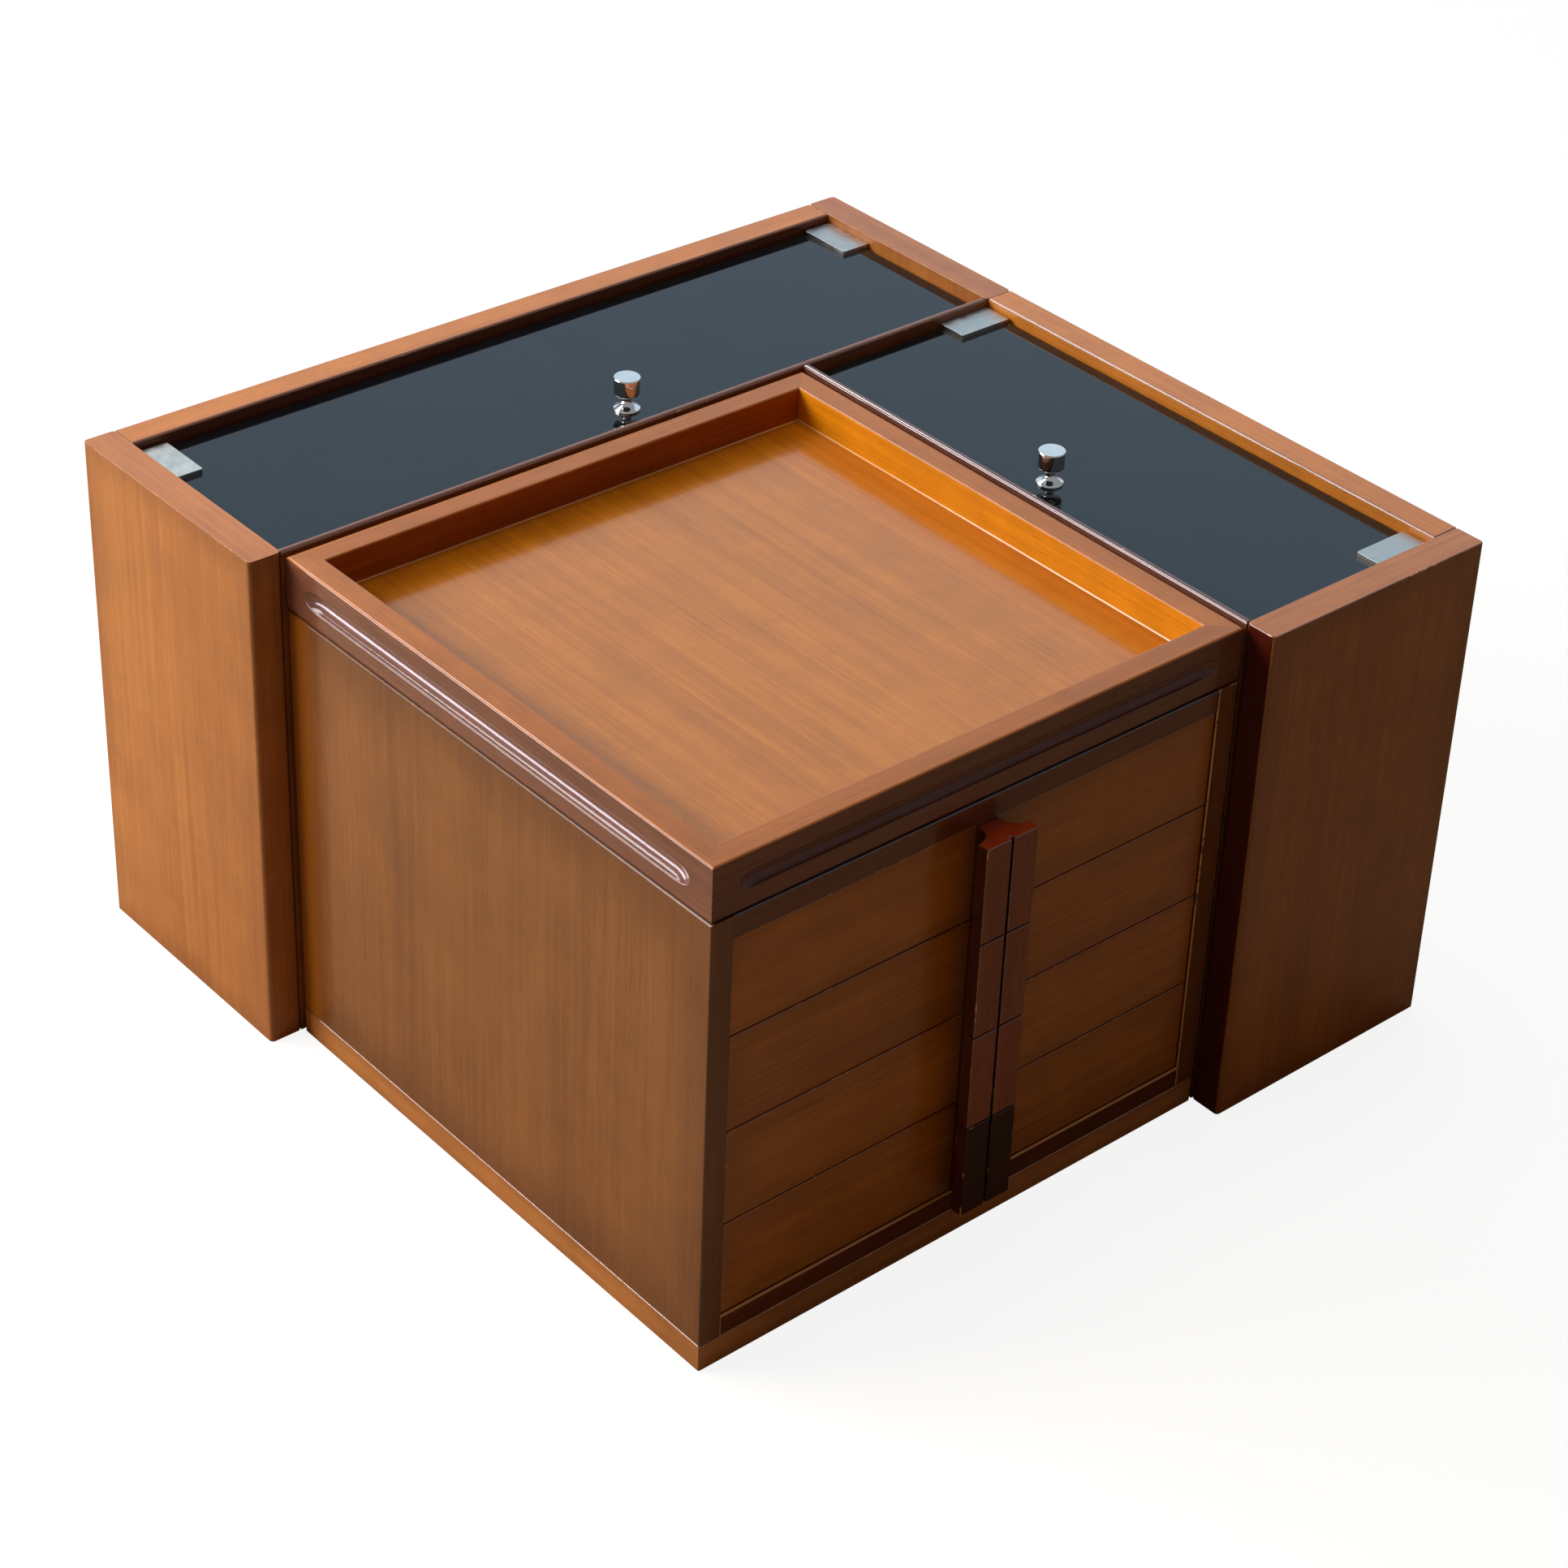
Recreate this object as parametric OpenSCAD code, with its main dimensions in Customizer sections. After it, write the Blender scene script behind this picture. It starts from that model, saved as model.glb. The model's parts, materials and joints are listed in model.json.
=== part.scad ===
// Low square storage unit. A cabinet of four drawers stands under a lift-off tray, and two
// bins with hinged glass lids wrap it at the back and on the right.
// Sizes are in millimetres and +Z is up. The drawers face -Y, and the origin is the centre
// of the footprint, on the floor.
// Inside the modules, x = 0 and y = 0 is the cabinet's front left corner. The two bins are
// alike, so the right one is drawn along X like the back one and swapped over by diagonal().

/* [Cabinet] */
// Side of the square cabinet, seen from above
cab = 426; // [410:2:440]
// Height of the cabinet's top edge above the floor
cab_h = 335.5; // [325:0.5:345]
// Thickness of the cabinet's boards
board_t = 16; // [15:0.5:18]
// Height of the plinth under the cabinet
plinth_h = 20; // [15:1:25]
// Thickness of the cabinet's back panel
back_t = 6; // [4:1:8]

/* [Drawers] */
// Gap around each drawer front
reveal = 1.2; // [0.8:0.1:2]
// Thickness of a drawer front
front_t = 16; // [14:1:18]
// Thickness of the sides of a drawer box
side_t = 12; // [11:0.5:13]
// Height of the sides of a drawer box
side_h = 56; // [50:1:58]
// Thickness of a drawer bottom
ply_t = 4; // [3:0.5:5]

/* [Handle] */
// Width of the handle bar
handle_w = 41.5; // [38:0.5:46]
// How far the handle stands out from the cabinet's front
handle_out = 23; // [20:0.5:26]
// Radius of the hollow that the fingers reach into on each side
handle_cove_r = 11; // [9:0.5:12]
// Width of the neck that joins the bar to the drawer front
handle_neck = 17; // [14:0.5:20]
// Width of the groove down the middle of the bar
handle_slit = 2.2; // [1.5:0.1:3]

/* [Tray] */
// Height of the tray's rails
rail_h = 39.2; // [36:0.1:42]
// Width of the tray's rim
rim = 18; // [17:0.5:20]
// Depth of the tray inside
tray_depth = 25; // [20:1:27]
// Radius of the finger groove in each rail
groove_r = 6.4; // [5.6:0.1:6.6]
// Distance from the tray's corner to the end of a finger groove
groove_end = 20; // [18:1:40]

/* [Bins] */
// Height of the bins
bin_h = 378; // [376:1:384]
// Depth of each bin, outside
bin_d = 198; // [180:1:220]
// Space between the cabinet and the bins
gap = 3; // [2:0.5:4]
// Thickness of the end panels
end_t = 24; // [22:1:26]
// Thickness of the outer walls
wall_t = 22; // [20:1:24]
// Thickness of the walls beside the cabinet
inner_t = 14; // [13:0.5:16]
// Thickness of the lip that borders each lid
lip_t = 5; // [5:0.5:6]
// How far the back bin's left end panel stands out from the cabinet's left side
left_over = 25.5; // [25:0.5:28]

/* [Lids] */
// Depth of the glass below the top of the bins
glass_down = 9; // [8:0.5:11]
// Thickness of the glass
glass_t = 6; // [5:0.5:8]
// Length of a hinge clamp across the pivot's axis
clamp_l = 45; // [38:1:50]
// Width of a hinge clamp along the pivot's axis
clamp_w = 24; // [20:1:28]
// Thickness of a hinge clamp's plates
clamp_t = 3; // [2.5:0.1:3]
// Distance from the pivot's axis to the back edge of the glass
pivot_back = 12; // [12:1:14]
// Radius of a pivot pin
pin_r = 2.5; // [2:0.1:3]

/* [Hidden] */
drawer_n = 4;
tiny = 0.01;
$fn = 64;

xi = cab + gap;
xo = xi + bin_d;
mid_x = (xo - left_over) / 2;
mid_y = (xo - handle_out) / 2;

// Drawers
opening_w = cab - 2 * board_t;
opening_z = plinth_h + board_t;
opening_h = cab_h - board_t - opening_z;
front_h = (opening_h - (drawer_n + 1) * reveal) / drawer_n;
front_x = board_t + reveal;
front_back = reveal + front_t;
side_gap = 2;
side_x = board_t + side_gap;
side_inner = side_x + side_t;
side_up = 5;
box_back = 400;
box_back_t = 10;
ply_up = 11;
ply_in = 5;
runner_w = 8;
runner_h = 10;
runner_up = 36;
runner_y = 30;
runner_play = 0.4;

// Handle
cove_y = handle_out - 20;
slit_deep = 3;

// Tray
tray_lift = 0.6;
tray_z = cab_h + tray_lift;
tray_floor_z = tray_z + rail_h - tray_depth;
tray_floor_t = 6;
tray_floor_in = 5;
groove_out = 0.6;
groove_bend = 30;
groove_leave = acos(1 - (groove_r - groove_out) / groove_bend);
groove_x = groove_end + groove_bend * sin(groove_leave);
groove_sweep = groove_leave + 4;

// Bins
a_left = end_t - left_over;
a_right = xo - end_t;
b_front = end_t - handle_out;
b_back = xi;
wall_y = xo - wall_t;
bin_floor_z = 22;
bin_floor_t = 9;
corner_r = 3;

// Lids
glass_z = bin_h - glass_down - glass_t;
ledge_z = glass_z - 0.3;
glass_front = xi + lip_t + 1;
glass_back = wall_y - 2;
clamp_gap = 0.5;
pivot_y = glass_back - pivot_back;
pivot_z = glass_z + glass_t / 2;
clamp_half = glass_t / 2 + clamp_t;
bush_l = 4;
bush_r = pin_r + 1.5;
bush_play = 0.02;
pin_play = 0.05;
pin_l = clamp_gap + bush_l - 0.3;
knob_in = 28.5;
knob_y = glass_front + knob_in;
knob_r = 9.4;
knob_h = 25;
knob_hole_r = 4;
knob_bore_r = 2;
knob_bore_l = 12;

// Assembly screws: height above the floor, and distance of the side bin's from the front
screw_zs = [80, 270];
screw_ys = [70, 350];
screw_r = 2.5;
screw_play = 0.05;
screw_deep = 14;
screw_head_r = 5;
screw_head_t = 2.5;
spacer_r = 6;

drawers = [1 : drawer_n];
drawer_parts = ["front", "left_side", "right_side", "back", "bottom", "handle"];
lid_parts = ["glass", "hinge_a", "hinge_b", "knob", "lid_screws"];

// ---------- helpers ----------

// Moves the cabinet's front left corner to its place around the origin.
module place() {
    translate([-mid_x, -mid_y, 0]) children();
}

// Swaps X and Y: turns a piece of the back bin into one of the side bin.
module diagonal() {
    mirror([1, -1, 0]) children();
}

// A box between two corners.
module block(low, high) {
    translate(low) cube(high - low);
}

// A standing board whose four upright edges are rounded.
module rounded_board(low, high, r) {
    size = high - low;
    translate(low) linear_extrude(size[2]) {
        translate([r, 0]) square([size[0] - 2 * r, size[1]]);
        translate([0, r]) square([size[0], size[1] - 2 * r]);
        for (x = [r, size[0] - r]) for (y = [r, size[1] - r]) translate([x, y]) circle(r);
    }
}

// A cylinder along X, from x = from to x = to.
module rod_x(from, to, r) {
    translate([from, 0, 0]) rotate([0, 90, 0]) cylinder(h = to - from, r = r);
}

// One mitred rail along the front of a square frame of side s, w wide.
module mitred_rail(s, w, h) {
    linear_extrude(h) polygon([[0, 0], [s, 0], [s - w, w], [w, w]]);
}

// Turns the front rail of a square frame of side s to side k: 0 front, 1 right, 2 back, 3 left.
module frame_side(s, k) {
    translate([s / 2, s / 2, 0]) rotate([0, 0, 90 * k]) translate([-s / 2, -s / 2, 0]) children();
}

// ---------- cabinet ----------

module plinth_rail(k) {
    color("peru") frame_side(cab, k) mitred_rail(cab, board_t, plinth_h);
}

module cabinet_side(x) {
    color("sienna") difference() {
        block([x, 0, plinth_h], [x + board_t, cab, cab_h]);
        assembly_holes();
    }
}

module cabinet_bottom() {
    color("sienna") block([board_t, 0, plinth_h], [cab - board_t, cab, opening_z]);
}

module cabinet_top() {
    color("sienna") block([board_t, 0, cab_h - board_t], [cab - board_t, cab, cab_h]);
}

module cabinet_back() {
    color("burlywood")
        block([board_t, cab - back_t, opening_z], [cab - board_t, cab, cab_h - board_t]);
}

// Two wooden strips for each drawer, one on each side of the cabinet.
module drawer_runners() {
    color("burlywood") for (i = drawers) for (x = [board_t, cab - board_t - runner_w])
        translate([0, 0, drawer_z(i) + runner_up])
            block([x, runner_y + runner_play, 0], [x + runner_w, cab - back_t - 2, runner_h]);
}

// ---------- assembly screws, with the spacers that hold the bins off the cabinet ----------

// Places one screw at each fixing point, with +X pointing from the bin into the cabinet.
module each_assembly_screw() {
    for (z = screw_zs) {
        for (x = [board_t / 2, cab - board_t / 2]) translate([x, xi, z]) rotate([0, 0, -90]) children();
        for (y = screw_ys) translate([xi, y, z]) rotate([0, 0, 180]) children();
    }
}

module assembly_holes() {
    each_assembly_screw() rod_x(-inner_t - tiny, gap + screw_deep, screw_r + screw_play);
}

module assembly_screws() {
    color("silver") each_assembly_screw() {
        rod_x(-inner_t, gap + screw_deep - 0.5, screw_r);
        rod_x(-inner_t - screw_head_t, -inner_t, screw_head_r);
        difference() {
            rod_x(0, gap, spacer_r);
            rod_x(-tiny, gap + tiny, screw_r + screw_play);
        }
    }
}

// ---------- drawers ----------

function drawer_z(i) = opening_z + reveal + (drawer_n - i) * (front_h + reveal);

module at_drawer(i) {
    translate([0, 0, drawer_z(i)]) children();
}

module drawer_front(i) {
    color("chocolate") at_drawer(i) difference() {
        block([front_x, reveal, 0], [cab - front_x, front_back, front_h]);
        ply_slot();
    }
}

// The groove that holds the bottom's edges, at the drawer's own height.
module ply_slot() {
    block(
        [side_inner - ply_in, front_back - ply_in, ply_up],
        [cab - side_inner + ply_in, box_back + tiny, ply_up + ply_t]
    );
}

module drawer_left_side(i) {
    color("burlywood") at_drawer(i) box_side();
}

module drawer_right_side(i) {
    color("burlywood") at_drawer(i) translate([cab, 0, 0]) mirror([1, 0, 0]) box_side();
}

module box_side() {
    groove_low = runner_up - runner_play;
    groove_high = runner_up + runner_h + runner_play;
    difference() {
        block([side_x, front_back, side_up], [side_inner, box_back, side_up + side_h]);
        ply_slot();
        block(
            [side_x - tiny, runner_y, groove_low],
            [board_t + runner_w + 0.5, box_back + tiny, groove_high]
        );
    }
}

module drawer_back(i) {
    color("burlywood") at_drawer(i)
        block(
            [side_inner, box_back - box_back_t, ply_up + ply_t],
            [cab - side_inner, box_back, side_up + side_h - 4]
        );
}

module drawer_bottom(i) {
    color("wheat") at_drawer(i)
        block(
            [side_inner - ply_in, front_back - ply_in, ply_up],
            [cab - side_inner + ply_in, box_back, ply_up + ply_t]
        );
}

// The bar's plan: a block on a neck, hollowed by a round cove on each side and slit in front.
module handle_plan() {
    cove_x = handle_neck / 2 + handle_cove_r;
    difference() {
        union() {
            translate([-handle_w / 2, -handle_out]) square([handle_w, handle_out - cove_y]);
            translate([-handle_neck / 2, -cove_y - tiny]) square([handle_neck, cove_y + reveal + tiny]);
        }
        for (s = [-1, 1]) translate([s * cove_x, -cove_y]) circle(handle_cove_r);
        translate([-handle_slit / 2, -handle_out - tiny]) square([handle_slit, slit_deep + tiny]);
    }
}

module drawer_handle(i) {
    color("saddlebrown") at_drawer(i) translate([cab / 2, 0, 0]) linear_extrude(front_h) handle_plan();
}

// ---------- tray ----------

// A round-nosed cutter's path along the front rail, curving out of the wood at both ends.
module finger_groove() {
    translate([0, -groove_out, rail_h / 2]) {
        rod_x(groove_x, cab - groove_x, groove_r);
        for (s = [0, 1]) translate([s ? cab - groove_x : groove_x, -groove_bend, 0])
            rotate([0, 0, s ? 90 - groove_sweep : 90])
                rotate_extrude(angle = groove_sweep) translate([groove_bend, 0]) circle(groove_r);
    }
}

module tray_rail(k) {
    floor_low = tray_floor_z - tray_floor_t - tray_z;
    color("peru") frame_side(cab, k) translate([0, 0, tray_z]) difference() {
        mitred_rail(cab, rim, rail_h);
        finger_groove();
        block([0, rim - tray_floor_in, floor_low], [cab, rim + tiny, floor_low + tray_floor_t]);
    }
}

module tray_floor() {
    edge = rim - tray_floor_in;
    color("orange")
        block([edge, edge, tray_floor_z - tray_floor_t], [cab - edge, cab - edge, tray_floor_z]);
}

// ---------- bins ----------

// The wall beside the cabinet, with a ledge that the lid's free edge lies on.
module ledged_wall(from, to) {
    difference() {
        block([from, xi, 0], [to, xi + inner_t, bin_h]);
        block([from - tiny, xi + lip_t, ledge_z], [to + tiny, xi + inner_t + tiny, bin_h + tiny]);
        assembly_holes();
    }
}

// The blind hole for a pivot bush in a panel whose inner face is at x = face.
module bush_hole(face, into) {
    translate([face, pivot_y, pivot_z]) mirror([into, 0, 0])
        rod_x(-bush_l, tiny, bush_r + bush_play);
}

module pivot_bush(face, into) {
    translate([face, pivot_y, pivot_z]) mirror([into, 0, 0]) difference() {
        rod_x(-bush_l, 0, bush_r);
        rod_x(-bush_l - tiny, tiny, pin_r + pin_play);
    }
}

module pivot_bushes() {
    color("goldenrod") {
        pivot_bush(a_left, 0);
        pivot_bush(a_right, 1);
        diagonal() pivot_bush(b_front, 0);
        diagonal() pivot_bush(b_back, 1);
    }
}

module rear_bin_left_end() {
    color("peru") difference() {
        rounded_board([-left_over, xi, 0], [a_left, xo, bin_h], corner_r);
        bush_hole(a_left, 0);
    }
}

module rear_bin_right_end() {
    color("peru") difference() {
        rounded_board([a_right, xi, 0], [xo, xo, bin_h], corner_r);
        bush_hole(a_right, 1);
    }
}

module rear_bin_back() {
    color("peru") block([a_left, wall_y, 0], [a_right, xo, bin_h]);
}

module rear_bin_front() {
    color("sienna") difference() {
        ledged_wall(a_left, a_right);
        diagonal() bush_hole(b_back, 1);
    }
}

module rear_bin_floor() {
    color("burlywood")
        block([a_left, xi + inner_t, bin_floor_z], [a_right, wall_y, bin_floor_z + bin_floor_t]);
}

module side_bin_front_end() {
    color("peru") diagonal() difference() {
        rounded_board([-handle_out, xi, 0], [b_front, xo, bin_h], corner_r);
        bush_hole(b_front, 0);
    }
}

module side_bin_outer_wall() {
    color("peru") diagonal() block([b_front, wall_y, 0], [b_back, xo, bin_h]);
}

module side_bin_inner_wall() {
    color("sienna") difference() {
        diagonal() block([b_front, xi, 0], [b_back, xi + inner_t, bin_h]);
        diagonal() block(
            [b_front - tiny, xi + lip_t, ledge_z],
            [b_back + tiny, xi + inner_t + tiny, bin_h + tiny]
        );
        assembly_holes();
    }
}

module side_bin_floor() {
    color("burlywood") diagonal()
        block([b_front, xi + inner_t, bin_floor_z], [b_back, wall_y, bin_floor_z + bin_floor_t]);
}

// ---------- lids, for a bin whose inside runs from x = from to x = to ----------

module lid_glass(from, to) {
    edge = clamp_gap + clamp_t;
    color("darkslategray") difference() {
        block([from + edge, glass_front, glass_z], [to - edge, glass_back, glass_z + glass_t]);
        translate([(from + to) / 2, knob_y, glass_z - tiny])
            cylinder(h = glass_t + 2 * tiny, r = knob_hole_r);
    }
}

// A U-shaped clamp on the end of the glass, with its pin. The outer face is at x = 0.
module hinge_clamp() {
    back = pivot_back;
    front = back - clamp_l;
    color("silver") {
        block([-clamp_w, front, glass_t / 2], [0, back, clamp_half]);
        block([-clamp_w, front, -clamp_half], [0, back, -glass_t / 2]);
        block([-clamp_t, front, -clamp_half], [0, back, clamp_half]);
        rod_x(-tiny, pin_l, pin_r);
    }
}

module hinge_at(face, into) {
    translate([face + (into ? -clamp_gap : clamp_gap), pivot_y, pivot_z])
        mirror([into ? 0 : 1, 0, 0]) hinge_clamp();
}

// A turned knob: a round foot, a narrow waist and a head as wide as the foot.
module lid_knob(from, to) {
    waist_r = 3.4;
    color("gainsboro") translate([(from + to) / 2, knob_y, glass_z + glass_t]) difference() {
        rotate_extrude() polygon([
            [0, 0],
            [knob_r, 0],
            [knob_r, 1.6],
            [knob_r * 0.8, 3.2],
            [waist_r + 1.6, 5.2],
            [waist_r, 7],
            [waist_r, 9.5],
            [knob_r - 1.4, 12.6],
            [knob_r, 13.8],
            [knob_r, knob_h],
            [0, knob_h]
        ]);
        translate([0, 0, -tiny]) cylinder(h = knob_bore_l, r = knob_bore_r + 0.05);
    }
}

// The knob's screw, and two screws in the lower plate of each clamp.
module lid_screws(from, to) {
    clamp_screw_x = clamp_gap + clamp_w * 0.6;
    color("silver") {
        translate([(from + to) / 2, knob_y, glass_z]) {
            translate([0, 0, -1.5]) cylinder(h = 1.5, r = 7);
            translate([0, 0, -3.5]) cylinder(h = 2.1, r = 4);
            translate([0, 0, -2]) cylinder(h = knob_bore_l + 7, r = knob_bore_r);
        }
        for (x = [from + clamp_screw_x, to - clamp_screw_x]) for (y = [8 - pivot_back, 32 - pivot_back])
            translate([x, pivot_y - y, pivot_z - clamp_half - 2]) cylinder(h = 2, r = 3.5);
    }
}

// ---------- which node is drawn ----------

place() {
    plinth_rail(0);  // plinth_front
    plinth_rail(1);  // plinth_right
    plinth_rail(2);  // plinth_back
    plinth_rail(3);  // plinth_left
    cabinet_side(0);  // cabinet_left_side
    cabinet_side(cab - board_t);  // cabinet_right_side
    cabinet_bottom();
    cabinet_top();
    cabinet_back();
    drawer_runners();
    assembly_screws();
    pivot_bushes();

    rear_bin_left_end();
    rear_bin_right_end();
    rear_bin_back();
    rear_bin_front();
    rear_bin_floor();
    side_bin_front_end();
    side_bin_outer_wall();
    side_bin_inner_wall();
    side_bin_floor();

    tray_rail(0);  // tray_front_rail
    tray_rail(1);  // tray_right_rail
    tray_rail(2);  // tray_back_rail
    tray_rail(3);  // tray_left_rail
    tray_floor();

    lid_glass(a_left, a_right);  // rear_glass
    hinge_at(a_left, 0);  // rear_hinge_a
    hinge_at(a_right, 1);  // rear_hinge_b
    lid_knob(a_left, a_right);  // rear_knob
    lid_screws(a_left, a_right);  // rear_lid_screws

    diagonal() lid_glass(b_front, b_back);  // side_glass
    diagonal() hinge_at(b_front, 0);  // side_hinge_a
    diagonal() hinge_at(b_back, 1);  // side_hinge_b
    diagonal() lid_knob(b_front, b_back);  // side_knob
    diagonal() lid_screws(b_front, b_back);  // side_lid_screws

    for (i = drawers) {
        drawer_front(i);
        drawer_left_side(i);
        drawer_right_side(i);
        drawer_back(i);
        drawer_bottom(i);
        drawer_handle(i);
    }
}
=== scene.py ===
"""Cube storage unit: lacquered boards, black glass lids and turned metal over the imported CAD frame."""

import json
import math

import bmesh
import bpy
from mathutils import Matrix, Vector


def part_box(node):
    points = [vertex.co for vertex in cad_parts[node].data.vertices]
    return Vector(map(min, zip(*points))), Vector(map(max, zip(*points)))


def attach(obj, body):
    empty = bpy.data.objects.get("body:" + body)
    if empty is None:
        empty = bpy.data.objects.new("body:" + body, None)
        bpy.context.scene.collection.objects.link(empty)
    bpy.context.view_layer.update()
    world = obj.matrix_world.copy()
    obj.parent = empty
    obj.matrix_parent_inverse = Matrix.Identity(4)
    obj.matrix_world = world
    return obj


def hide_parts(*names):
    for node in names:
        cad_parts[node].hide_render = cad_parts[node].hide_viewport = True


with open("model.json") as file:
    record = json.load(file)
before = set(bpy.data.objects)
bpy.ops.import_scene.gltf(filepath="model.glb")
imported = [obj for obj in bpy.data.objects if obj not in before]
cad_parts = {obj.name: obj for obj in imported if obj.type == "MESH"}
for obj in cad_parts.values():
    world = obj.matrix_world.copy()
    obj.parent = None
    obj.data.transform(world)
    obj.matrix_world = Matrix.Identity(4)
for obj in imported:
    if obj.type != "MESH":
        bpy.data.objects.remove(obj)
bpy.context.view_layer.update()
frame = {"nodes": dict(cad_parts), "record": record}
MM = 0.001
SHARP = math.radians(38)
FLAT = math.radians(0.4)

# ---------- node helpers ----------


class Graph:
    """The node tree of a material or a world, with one short call for each kind of node."""

    def __init__(self, owner):
        owner.use_nodes = True
        self.owner = owner
        self.tree = owner.node_tree
        self.bsdf = self.tree.nodes.get("Principled BSDF")

    def node(self, kind, **settings):
        n = self.tree.nodes.new(kind)
        for key, value in settings.items():
            setattr(n, key, value)
        return n

    def put(self, socket, value):
        """Links value to a socket if it is a socket, or sets it if it is a number or a colour."""
        if isinstance(value, bpy.types.NodeSocket):
            self.tree.links.new(value, socket)
        else:
            socket.default_value = value

    def math(self, operation, a, b):
        n = self.node("ShaderNodeMath", operation=operation)
        self.put(n.inputs[0], a)
        self.put(n.inputs[1], b)
        return n.outputs[0]

    def vector(self, operation, a, b):
        n = self.node("ShaderNodeVectorMath", operation=operation)
        self.put(n.inputs[0], a)
        self.put(n.inputs[1], b)
        return n.outputs[0]

    def noise(self, where, scale=1.0, detail=3.0, roughness=0.55, distortion=0.0):
        n = self.node("ShaderNodeTexNoise")
        self.put(n.inputs["Vector"], where)
        n.inputs["Scale"].default_value = scale
        n.inputs["Detail"].default_value = detail
        n.inputs["Roughness"].default_value = roughness
        n.inputs["Distortion"].default_value = distortion
        return n.outputs["Fac"]

    def remap(self, value, low, high, to_low=0.0, to_high=1.0):
        """A smooth step: to_low below low, to_high above high."""
        n = self.node("ShaderNodeMapRange", interpolation_type="SMOOTHSTEP")
        self.put(n.inputs["Value"], value)
        for key, v in zip(("From Min", "From Max", "To Min", "To Max"), (low, high, to_low, to_high)):
            n.inputs[key].default_value = v
        return n.outputs["Result"]

    def mix(self, amount, a, b, blend="MIX"):
        n = self.node("ShaderNodeMix", data_type="RGBA", blend_type=blend)
        self.put(n.inputs["Factor"], amount)
        self.put(n.inputs["A"], a)
        self.put(n.inputs["B"], b)
        return n.outputs["Result"]

    def bump(self, height, distance):
        n = self.node("ShaderNodeBump")
        n.inputs["Distance"].default_value = distance
        self.put(n.inputs["Height"], height)
        return n.outputs["Normal"]

    def split(self, vector):
        n = self.node("ShaderNodeSeparateXYZ")
        self.put(n.inputs[0], vector)
        return n.outputs

    def place(self):
        """Coordinates in metres in the object's own frame, shifted by a different amount for each piece."""
        where = self.node("ShaderNodeTexCoord").outputs["Object"]
        chance = self.node("ShaderNodeObjectInfo").outputs["Random"]
        shift = self.node("ShaderNodeCombineXYZ")
        for i, reach in enumerate((7.0, 11.0, 5.0)):
            self.put(shift.inputs[i], self.math("MULTIPLY", chance, reach))
        return self.vector("ADD", where, shift.outputs[0])

    def board(self):
        """The share of a piece's box before and after the point on each axis, and the box's size."""
        unit = self.node("ShaderNodeTexCoord").outputs["Generated"]
        size = self.node("ShaderNodeAttribute", attribute_type="OBJECT", attribute_name="size")
        return unit, self.vector("SUBTRACT", (1, 1, 1), unit), size.outputs["Vector"]

    def edge_distance(self):
        """Distance in metres from a board's nearest edge, on the face that is being shaded."""
        unit, rest, size = self.board()
        x, y, z = self.split(self.vector("MULTIPLY", self.vector("MINIMUM", unit, rest), size))
        total = self.math("ADD", self.math("ADD", x, y), z)
        low = self.math("MINIMUM", self.math("MINIMUM", x, y), z)
        high = self.math("MAXIMUM", self.math("MAXIMUM", x, y), z)
        return self.math("SUBTRACT", self.math("SUBTRACT", total, low), high)

    def back_distance(self):
        """Distance in metres from a board's +Y end."""
        unit, rest, size = self.board()
        return self.split(self.vector("MULTIPLY", rest, size))["Y"]


def rgba(r, g, b):
    return (r, g, b, 1.0)


def stretched(axis, across, along):
    """Texture scale with the grain along one axis."""
    scale = [across] * 3
    scale["XYZ".index(axis)] = along
    return tuple(scale)


# ---------- wood ----------


# Pale orange of bare worn wood, also used for a painted lit edge on the sill and the stile.
WORN_AND_LIT = (0.82, 0.37, 0.12)


def figured(g, at, axis, light, dark):
    """The colour of straight-grained veneer, and the relief of its fibres. Grain scales are per metre."""

    def grain(across, along, **more):
        return g.noise(g.vector("MULTIPLY", at, stretched(axis, across, along)), **more)

    broad = grain(9, 0.9, detail=3, distortion=0.3)
    stripe = grain(125, 2.6, detail=4, roughness=0.62)
    fibre = grain(560, 10, detail=2)
    pores = grain(1500, 60, detail=1)
    mottle = g.noise(at, scale=26, detail=2)

    figure = g.math("ADD", g.math("MULTIPLY", broad, 0.40), g.math("MULTIPLY", stripe, 0.32))
    figure = g.math("ADD", figure, g.math("MULTIPLY", fibre, 0.28))
    colour = g.mix(g.remap(figure, 0.33, 0.67), rgba(*dark), rgba(*light))
    colour = g.mix(1.0, colour, g.remap(pores, 0.60, 0.72, 1.0, 0.80), "MULTIPLY")
    colour = g.mix(1.0, colour, g.remap(mottle, 0.3, 0.7, 0.93, 1.05), "MULTIPLY")
    relief = g.math("ADD", g.math("MULTIPLY", fibre, 0.6), g.math("MULTIPLY", pores, 0.4))
    return colour, relief


def darkened_border(g, at, colour, dark, tone, reach):
    """Darkens a board's border as far in as reach millimetres, more or less."""
    wander = g.math("MULTIPLY", g.math("SUBTRACT", g.noise(at, scale=7, detail=3), 0.5), 0.05)
    inside = g.math("ADD", g.edge_distance(), wander)
    deep = tuple(c * k for c, k in zip(dark, (0.42, 0.34, 0.34)))
    return g.mix(g.remap(inside, 0.0, reach * MM, tone, 0.0), colour, rgba(*deep))


def rubbed_through(g, at, colour, rubbed):
    """Pales the colour in patches, from a few at 0 to nearly all over at 1. On most arrises this is bare
    worn wood; on the stile it is partly, and on the sill wholly, a painted lit edge.
    """
    patches = g.noise(at, scale=70, detail=4, roughness=0.7)
    bare_and_lit = g.remap(patches, 0.72 - 0.5 * rubbed, 0.80 - 0.5 * rubbed, 0.0, 0.85)
    return g.mix(bare_and_lit, colour, rgba(*WORN_AND_LIT))


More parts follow.
